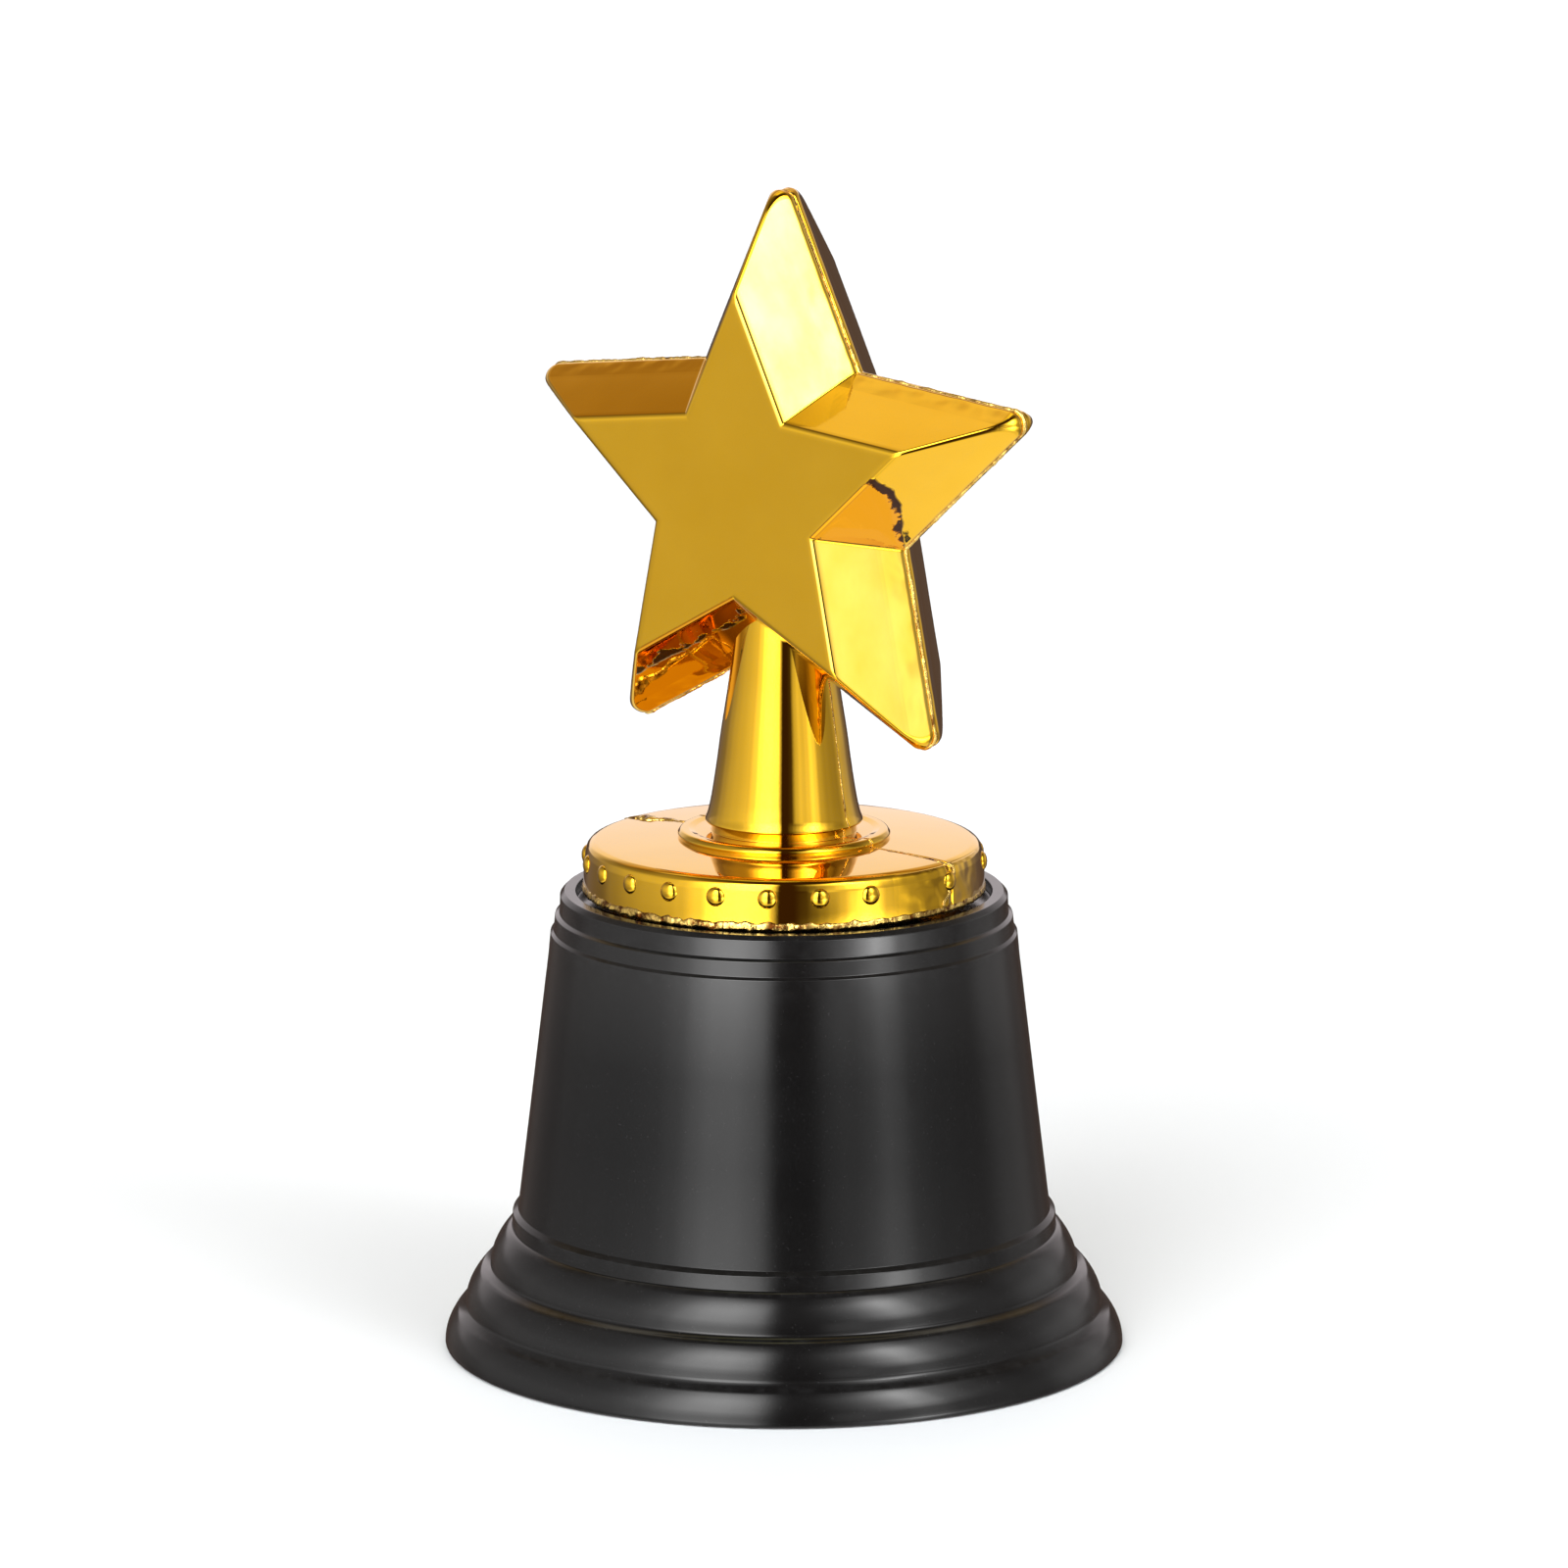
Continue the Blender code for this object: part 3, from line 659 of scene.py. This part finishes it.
def bead(name, path, outs, width, height, material, seed, flaw=0.6, segments=7):
    """A rough low ridge along a path. Width and height may be functions of 0 to 1 along it."""
    verts, faces = [], []
    count = len(path)
    path = [Vector(p) for p in path]
    for i, point in enumerate(path):
        t = i / (count - 1)
        ahead = path[min(i + 1, count - 1)] - path[max(i - 1, 0)]
        ahead.normalize()
        out = Vector(outs[i]).normalized()
        across = ahead.cross(out).normalized()
        w = width(t) if callable(width) else width
        h = height(t) if callable(height) else height
        rough = 1 + 0.6 * wave(point, 1.5, seed) + 0.35 * wave(point, 0.5, seed + 1)
        ends = min(1.0, 8 * t, 8 * (1 - t))
        w = max(0.02, w * rough * (0.3 + 0.7 * ends))
        h = max(0.01, h * rough * ends)
        shift = across * (0.25 * w * wave(point, 1.6, seed + 2))
        for j in range(segments):
            turn = 2 * math.pi * j / segments
            verts.append(point + shift + across * (w / 2 * math.cos(turn)) + out * (h * math.sin(turn)))
    faces = grid_faces(count, segments, True)
    faces.append(list(range(segments)))
    faces.append([(count - 1) * segments + j for j in range(segments)][::-1])
    piece = new_object(name, verts, faces, material)
    outward(piece)
    set_flaw(piece, lambda p: min(1.0, max(0.0, flaw + 0.9 * wave(p, 2.2, seed + 3))))
    return piece


def star_flash(material):
    """The flash all round the star's edge."""
    outline = star_outline(TIP_FILLET)
    loop = np.vstack([outline, outline[:1]])
    lengths = np.concatenate([[0], np.cumsum(np.linalg.norm(np.diff(loop, axis=0), axis=1))])
    count = int(lengths[-1] / FLASH_STEP)
    along = np.linspace(0, lengths[-1], count)
    xs, zs = np.interp(along, lengths, loop[:, 0]), np.interp(along, lengths, loop[:, 1])
    path, outs = [], []
    for i in range(count):
        ahead = Vector((xs[(i + 1) % count] - xs[i - 1], 0, zs[(i + 1) % count] - zs[i - 1]))
        out = ahead.cross(Vector((0, 1, 0))).normalized()
        if out.dot(Vector((xs[i], 0, zs[i]))) < 0:
            out.negate()
        path.append(Vector((xs[i], 0, zs[i] + CENTRE_Z)) - out * FLASH_SINK)
        outs.append(out)
    tip_z = max(p.z for p in path)
    low, more = FLASH_HEIGHTS

    def height(t):
        z = path[min(count - 1, int(t * (count - 1)))].z
        return more * min(1.0, max(0.0, (tip_z - z) / FLASH_GROWTH)) + low

    return bead("star_seam_flash", path, outs, FLASH_WIDTH, height, material, 11, flaw=0.35)


def side_seam(name, sign, material):
    """The flash down the stem, over the collar, across the foot's top and down its wall, on one side."""
    profile = column_profile()
    collar_edge, wall = FOOT_TOP_R
    last = max(i for i, (r, z) in enumerate(profile) if r > wall)
    keep = profile[: last + 1]
    keep = keep[keep[:, 1] < SIDE_FLASH_LIMIT_Z]
    lengths = np.concatenate([[0], np.cumsum(np.linalg.norm(np.diff(keep, axis=0), axis=1))])
    count = int(lengths[-1] / SIDE_FLASH_STEP)
    along = np.linspace(0, lengths[-1], count)
    rs, zs = np.interp(along, lengths, keep[:, 0]), np.interp(along, lengths, keep[:, 1])
    width, on_wall_width, torn_width = SIDE_FLASH_WIDTHS
    height, on_wall_height, torn_height = SIDE_FLASH_HEIGHTS
    aside, aside_varies = GROOVE_ASIDE
    path, groove, outs, widths, heights = [], [], [], [], []
    for i in range(count):
        dr = rs[min(i + 1, count - 1)] - rs[max(i - 1, 0)]
        dz = zs[min(i + 1, count - 1)] - zs[max(i - 1, 0)]
        out = Vector((-dz, 0, dr)).normalized()
        out.x *= sign
        on_wall = float(rs[i] > wall)
        on_top = float(rs[i] > collar_edge and not on_wall)
        torn = float(np.interp(rs[i], TORN_RADII, TORN_SHARES)) * on_top if sign < 0 else 0.0
        point = (rs[i] * sign, 0, zs[i])
        wander = 0.2 * wave(point, 3.5, 21)
        wander += on_wall * 2.2 * wave(point, 1.4, 22) + on_top * 0.5 * wave(point, 1.5, 24)
        path.append(Vector((sign * rs[i], wander, zs[i])) - out * SIDE_FLASH_SINK)
        groove.append(path[-1] + Vector((0, -aside - aside_varies * wave(point, 0.9, 25), 0)))
        outs.append(out)
        widths.append(width + on_wall_width * on_wall + torn_width * torn)
        heights.append(height + on_wall_height * on_wall + torn_height * torn)

    def of(values):
        return lambda t: values[min(count - 1, int(t * (count - 1)))]

    seed = 23 if sign > 0 else 29
    ridge = bead(name, path, outs, of(widths), of(heights), material, seed, flaw=0.45 if sign > 0 else 1.0)
    first = next(i for i in range(count) if rs[i] > collar_edge)
    dark = bead(name + "_groove", groove[first:], outs[first:], *GROOVE_SIZE, material, seed + 5, flaw=3.0)
    return join(name, [ridge, dark])


def trim_lip(material):
    """The ragged edge left where the foot was trimmed: a thin torn skirt standing proud of the wall."""
    verts = []
    least, more = LIP_REACH
    for i in range(LIP_STEPS):
        angle = 2 * math.pi * i / LIP_STEPS
        x, y = around(angle)
        place = (TEAR_R * x, TEAR_R * y, 0)
        strong = LIP_THIN + (1 - LIP_THIN) * max(0.0, math.cos(angle - LIP_HEAVY_AT)) ** 2
        tear = 0.5 + 0.5 * wave(place, 0.9, 41) + 0.45 * wave(place, 0.35, 42)
        reach = least + more * strong * max(0.0, tear)
        top = FOOT_BOTTOM_Z + 0.3 + 0.35 * strong * wave(place, 0.9, 43)
        drop = FOOT_BOTTOM_Z - 0.3 - strong * (0.2 + 0.35 * max(0.0, 0.3 + wave(place, 0.8, 44)))
        section = [(-0.3, top), (0.02, top), (0.6 * reach, top - 0.25)]
        section += [(reach, drop + 0.25), (0.7 * reach, drop), (-0.3, drop + 0.05)]
        for out, z in section:
            verts.append(((LIP_R + out) * x, (LIP_R + out) * y, z))
    faces = []
    rows = len(section)
    for i in range(LIP_STEPS):
        k = (i + 1) % LIP_STEPS
        for j in range(rows):
            m = (j + 1) % rows
            faces.append([i * rows + j, i * rows + m, k * rows + m, k * rows + j])
    piece = new_object("foot_trim_lip", verts, faces, material)
    outward(piece)
    set_flaw(piece, lambda p: min(1.0, max(0.0, 1.1 + 1.6 * wave(p, 1.1, 45))))
    return piece


# ---------------------------------------------------------------- pedestal and fastener


def shoulder(start, end, steps=9):
    """A quarter-round step from its upper inner edge out to its foot."""
    (r0, z0), (r1, z1) = start, end
    curve = []
    for k in range(steps + 1):
        t = k / steps
        curve.append((r0 + (r1 - r0) * (1 - (1 - t) ** 2), z0 + (z1 - z0) * t, 0))
    return curve


def pedestal(material):
    profile = CHANNEL + RIM + FLARE
    for start, end in STEPS:
        profile += shoulder(start, end)
    profile += BELL + UNDER_DECK
    loop = filleted(profile, 5)
    piece = lathe("pedestal", loop, material, 256)
    even_normals(piece)

    def rubbed(p):
        r = math.hypot(p.x, p.y)
        return max(max(0.0, 1 - math.hypot(r - a, p.z - b) / RUBBED_WIDTH) for a, b in RUBBED_EDGES)

    set_flaw(piece, rubbed)
    heights = [v.co.z / MM for v in piece.data.vertices]
    set_values(piece, "sheen", [float(h) for h in np.interp(heights, SHEEN_HEIGHTS, SHEEN_LEVELS)])
    ribs = []
    for k in range(RIBS):
        x, y = around(math.pi * (2 * k + 1) / RIBS)
        ribs.append(rib_box(x, y, material))
    return join("pedestal", [piece] + ribs)


def rib_box(x, y, material):
    """One radial rib under the deck, with rounded edges."""
    bm = bmesh.new()
    bmesh.ops.create_cube(bm, size=1.0)
    bmesh.ops.scale(bm, vec=RIB_SIZE, verts=bm.verts)
    bmesh.ops.bevel(bm, geom=bm.edges[:], offset=0.25, segments=3, affect="EDGES", profile=0.5)
    bmesh.ops.translate(bm, vec=RIB_CENTRE, verts=bm.verts)
    bmesh.ops.rotate(bm, matrix=Matrix.Rotation(math.atan2(y, x), 3, "Z"), verts=bm.verts)
    bmesh.ops.scale(bm, vec=(MM, MM, MM), verts=bm.verts)
    mesh = bpy.data.meshes.new("rib")
    bm.to_mesh(mesh)
    bm.free()
    mesh.shade_smooth()
    mesh.materials.append(material)
    piece = bpy.data.objects.new("rib", mesh)
    bpy.context.scene.collection.objects.link(piece)
    even_normals(piece)
    return piece


def screw(material):
    """A pan-head tapping screw, driven upward, with its thread and cross recess."""
    steps, rows = 32, 170
    verts = []
    shank_low, tip_z, thread_low = 42.2, 59.4, 44.2
    pitch, core, crest = 1.25, 1.25, 1.75
    tooth_width, run_in, point_length = 0.28, 0.8, 2.6
    for i in range(rows + 1):
        z = shank_low + (tip_z - shank_low) * i / rows
        for j in range(steps):
            angle = 2 * math.pi * j / steps
            phase = (z / pitch - j / steps) % 1.0
            tooth = max(0.0, 1 - abs(phase - 0.5) / tooth_width)
            taper = min(1.0, (tip_z - z) / point_length)
            start = min(1.0, max(0.0, (z - thread_low) / run_in))
            r = (core + (crest - core) * tooth * start) * taper + 0.02
            x, y = around(angle)
            verts.append((r * x, r * y, z))
    faces = grid_faces(rows + 1, steps, True)
    faces.append(list(range(steps)))
    faces.append([rows * steps + j for j in range(steps)][::-1])
    shank = new_object("shank", verts, faces, material)
    outward(shank)
    even_normals(shank)
    head = lathe("head", filleted(SCREW_HEAD, 6), material, 64, closed_profile=False)
    bm = bmesh.new()
    length, width, height = RECESS
    for turn in (0, math.pi / 2):
        cut = bmesh.ops.create_cube(bm, size=1.0)["verts"]
        for v in cut:
            narrow = RECESS_NARROWING if v.co.z > 0 else 1.0
            v.co = Vector((v.co.x * length * narrow, v.co.y * width * narrow, v.co.z * height + RECESS_Z))
        bmesh.ops.rotate(bm, matrix=Matrix.Rotation(turn + RECESS_TURN, 3, "Z"), verts=cut)
    bmesh.ops.scale(bm, vec=(MM, MM, MM), verts=bm.verts)
    mesh = bpy.data.meshes.new("recess")
    bm.to_mesh(mesh)
    bm.free()
    recess = bpy.data.objects.new("recess", mesh)
    bpy.context.scene.collection.objects.link(recess)
    bpy.context.view_layer.objects.active = head
    cutter = head.modifiers.new("recess", "BOOLEAN")
    cutter.operation = "DIFFERENCE"
    cutter.solver = "EXACT"
    cutter.use_self = True
    cutter.object = recess
    bpy.ops.object.modifier_apply(modifier="recess")
    bpy.data.objects.remove(recess)
    head.data.shade_smooth()
    head.data.set_sharp_from_angle(angle=math.radians(35))
    return join("mounting_screw_detail", [head, shank])


def washer(material):
    piece = lathe("flat_washer_detail", filleted(WASHER, 4, closed=True), material, 96)
    even_normals(piece)
    return piece


# ---------------------------------------------------------------- studio


def studio_world():
    """Light from each direction: two soft boxes beside the camera, a backdrop, a ceiling and a table."""
    world = bpy.data.worlds.new("studio")
    bpy.context.scene.world = world
    world.use_nodes = True
    tree = world.node_tree
    tree.nodes.clear()

    def node(kind, **settings):
        made = tree.nodes.new(kind)
        for name, value in settings.items():
            setattr(made, name, value)
        return made

    def calc(operation, a, b=0.0):
        made = node("ShaderNodeMath", operation=operation)
        for socket, value in zip(made.inputs, (a, b)):
            if isinstance(value, (int, float)):
                socket.default_value = value
            else:
                tree.links.new(value, socket)
        return made.outputs[0]

    def ramp(source, stops, low, high):
        made = node("ShaderNodeValToRGB")
        made.color_ramp.interpolation = "EASE"
        elements = made.color_ramp.elements
        while len(elements) > 1:
            elements.remove(elements[-1])
        peak = max(max(c) if isinstance(c, tuple) else c for _, c in stops)
        for i, (at, colour) in enumerate(stops):
            colour = colour if isinstance(colour, tuple) else (colour,) * 3
            element = elements[0] if i == 0 else elements.new((at - low) / (high - low))
            element.position = (at - low) / (high - low)
            element.color = (*[c / peak for c in colour], 1.0)
        tree.links.new(source, made.inputs["Fac"])
        return made.outputs["Color"], peak

    def product(a, b):
        (colour_a, peak_a), (colour_b, peak_b) = a, b
        made = node("ShaderNodeVectorMath", operation="MULTIPLY")
        tree.links.new(colour_a, made.inputs[0])
        tree.links.new(colour_b, made.inputs[1])
        scaled = node("ShaderNodeVectorMath", operation="SCALE")
        tree.links.new(made.outputs[0], scaled.inputs[0])
        scaled.inputs["Scale"].default_value = peak_a * peak_b
        return scaled.outputs[0]

    direction = node("ShaderNodeTexCoord").outputs["Generated"]
    turned = node("ShaderNodeVectorRotate", rotation_type="Z_AXIS")
    turned.inputs["Angle"].default_value = -VIEW_AZIMUTH
    tree.links.new(direction, turned.inputs["Vector"])
    parts = node("ShaderNodeSeparateXYZ")
    tree.links.new(turned.outputs[0], parts.inputs[0])
    backwards = calc("MULTIPLY", parts.outputs["Y"], -1.0)
    azimuth = calc("ARCTAN2", parts.outputs["X"], backwards)
    across = calc("ADD", calc("DIVIDE", azimuth, 2 * math.pi), 0.5)
    up = calc("ADD", calc("DIVIDE", calc("ARCSINE", parts.outputs["Z"]), math.pi), 0.5)

    def light(around_stops, up_stops):
        return product(ramp(across, around_stops, -180, 180), ramp(up, up_stops, -90, 90))

    everywhere = [(-180, 1), (180, 1)]
    lights = [
        light(LEFT_BOX_ACROSS, LEFT_BOX_UP),
        light(RIGHT_BOX_ACROSS, RIGHT_BOX_UP),
        light(INNER_EDGE_ACROSS, INNER_EDGE_UP),
        light(WALLS_ACROSS, WALLS_UP),
        light(BACKDROP_ACROSS, BACKDROP_UP),
        light(CEILING_ACROSS, CEILING_UP),
        light(FAR_FLOOR_ACROSS, FAR_FLOOR_UP),
        light([(-180, WARM_DARK), (180, WARM_DARK)], [(-90, 1), (90, 1)]),
        light(everywhere, TABLE_UP),
    ]
    total = lights[0]
    for one in lights[1:]:
        add = node("ShaderNodeVectorMath", operation="ADD")
        tree.links.new(total, add.inputs[0])
        tree.links.new(one, add.inputs[1])
        total = add.outputs[0]
    shine = node("ShaderNodeBackground")
    tree.links.new(total, shine.inputs["Color"])
    plain = node("ShaderNodeBackground")
    plain.inputs["Color"].default_value = (CAMERA_SEES, CAMERA_SEES, CAMERA_SEES, 1.0)
    seen = node("ShaderNodeLightPath")
    either = node("ShaderNodeMixShader")
    tree.links.new(seen.outputs["Is Camera Ray"], either.inputs["Fac"])
    tree.links.new(shine.outputs[0], either.inputs[1])
    tree.links.new(plain.outputs[0], either.inputs[2])
    output = node("ShaderNodeOutputWorld")
    tree.links.new(either.outputs[0], output.inputs["Surface"])


def studio_floor():
    far = FLOOR_REACH
    corners = [(-far, -far, 0), (far, -far, 0), (far, far, 0), (-far, far, 0)]
    floor = new_object("floor", corners, [[0, 1, 2, 3]], pale_floor(), smooth=False)
    floor.location.z = -FLOOR_DROP
    floor.visible_glossy = False
    light = bpy.data.lights.new("overhead", "SUN")
    light.energy = OVERHEAD
    light.color = OVERHEAD_COLOUR
    light.angle = OVERHEAD_SPREAD
    overhead = bpy.data.objects.new("overhead", light)
    overhead.visible_glossy = False
    bpy.context.scene.collection.objects.link(overhead)


def studio_camera():
    data = bpy.data.cameras.new("camera")
    data.sensor_width = SENSOR
    data.lens = LENS
    data.clip_start = 0.05
    data.clip_end = 50.0
    camera = bpy.data.objects.new("camera", data)
    bpy.context.scene.collection.objects.link(camera)
    x, y = around(VIEW_AZIMUTH)
    camera.location = (VIEW_DISTANCE * x, VIEW_DISTANCE * y, VIEW_HEIGHT)
    aim = Vector((0.0, 0.0, VIEW_AIM_Z))
    camera.rotation_euler = (aim - camera.location).to_track_quat("-Z", "Y").to_euler()
    bpy.context.scene.camera = camera


# ---------------------------------------------------------------- everything


def main():
    gold = gold_plating()
    rough_gold = seam_gold()
    black = black_plastic()
    figure_front = [star_half("star_front", -1, gold)]
    figure_rear = [star_half("star_rear", 1, gold)]
    figure_front.append(column_half("column_front", -1, gold))
    figure_rear.append(column_half("column_rear", 1, gold))
    every = [a for a in range(-180, 180, STUD_STEP) if a not in STUD_GAPS]
    figure_front.append(studs("studs_front", [a for a in every if abs(a) <= 90], gold))
    figure_rear.append(studs("studs_rear", [a for a in every if abs(a) > 90], gold))
    figure_front.append(star_flash(rough_gold))
    figure_front.append(side_seam("seam_right", 1, rough_gold))
    figure_rear.append(side_seam("seam_left", -1, rough_gold))
    figure_front.append(trim_lip(rough_gold))
    for piece in figure_front:
        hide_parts("figure_front_shell")
    for piece in figure_rear:
        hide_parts("figure_rear_shell")
    base = pedestal(black)
    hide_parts("base_shell")
    fastener = screw(plated_steel("screw_steel", (0.62, 0.60, 0.57), 0.22))
    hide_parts("mounting_screw")
    ring = washer(plated_steel("washer_steel", (0.55, 0.54, 0.52), 0.3))
    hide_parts("flat_washer")
    slots = {
        "gold_plating": figure_front + figure_rear,
        "black_plastic": [base],
        "screw_steel": [fastener],
        "washer_steel": [ring],
    }
    for name, pieces in slots.items():
        for piece in pieces:
            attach(piece, "root")
    studio_world()
    studio_floor()
    studio_camera()
    bpy.context.scene.view_settings.view_transform = "Standard"


main()
